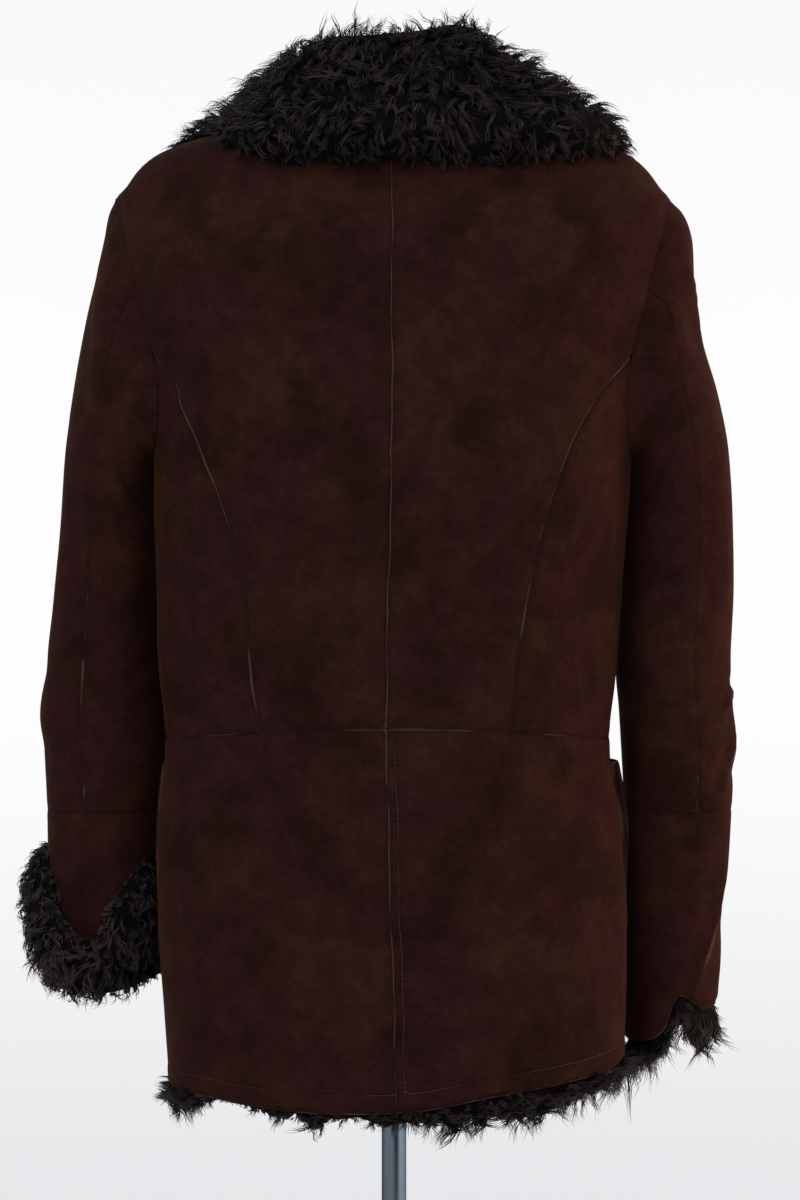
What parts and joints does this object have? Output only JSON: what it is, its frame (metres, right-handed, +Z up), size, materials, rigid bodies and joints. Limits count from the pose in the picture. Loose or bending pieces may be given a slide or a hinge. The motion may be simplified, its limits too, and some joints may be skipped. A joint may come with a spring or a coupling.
{
  "type": "shearling coat on a limbless dress form",
  "caption": "Waisted suede coat with curly fur collar, lapels, cuffs and hem, hanging from a limbless dress form on a round stand.",
  "frame": {"origin": "middle of the round base's underside, on the pole's axis, on the floor", "axes": "+Z up; the coat's front faces -Y and its back +Y; the wearer's left is +X"},
  "size_m": [0.5596, 0.3426, 1.4474],
  "materials": {
    "suede": "matt napped suede with reddish and ochre patches",
    "fur": "curly dark grey-brown shearling locks, soft gloss",
    "button": "dark horn, half gloss",
    "form_cover": "plain cream jersey",
    "stand_metal": "polished tube and base"
  },
  "bodies": {
    "root": {"back_center_left": "suede", "back_center_right": "suede", "back_lower_left": "suede", "back_lower_right": "suede", "back_side_left": "suede", "back_side_right": "suede", "button_1": "button", "button_2": "button", "button_3": "button", "button_4": "button", "collar": "fur", "cuff_fur_left": "fur", "cuff_fur_right": "fur", "form_base": "stand_metal", "form_pole": "stand_metal", "form_torso": "form_cover", "front_lower_left": "suede", "front_lower_right": "suede", "front_upper_left": "suede", "front_upper_right": "suede", "hem_fur_back_left": "fur", "hem_fur_back_right": "fur", "hem_fur_front_left": "fur", "hem_fur_front_right": "fur", "lapel_left": "fur", "lapel_right": "fur", "pocket_left": "suede", "pocket_right": "suede", "sleeve_lower_left": "suede", "sleeve_lower_right": "suede", "sleeve_top_left": "suede", "sleeve_top_right": "suede", "sleeve_under_left": "suede", "sleeve_under_right": "suede"}
  },
  "joints": []
}
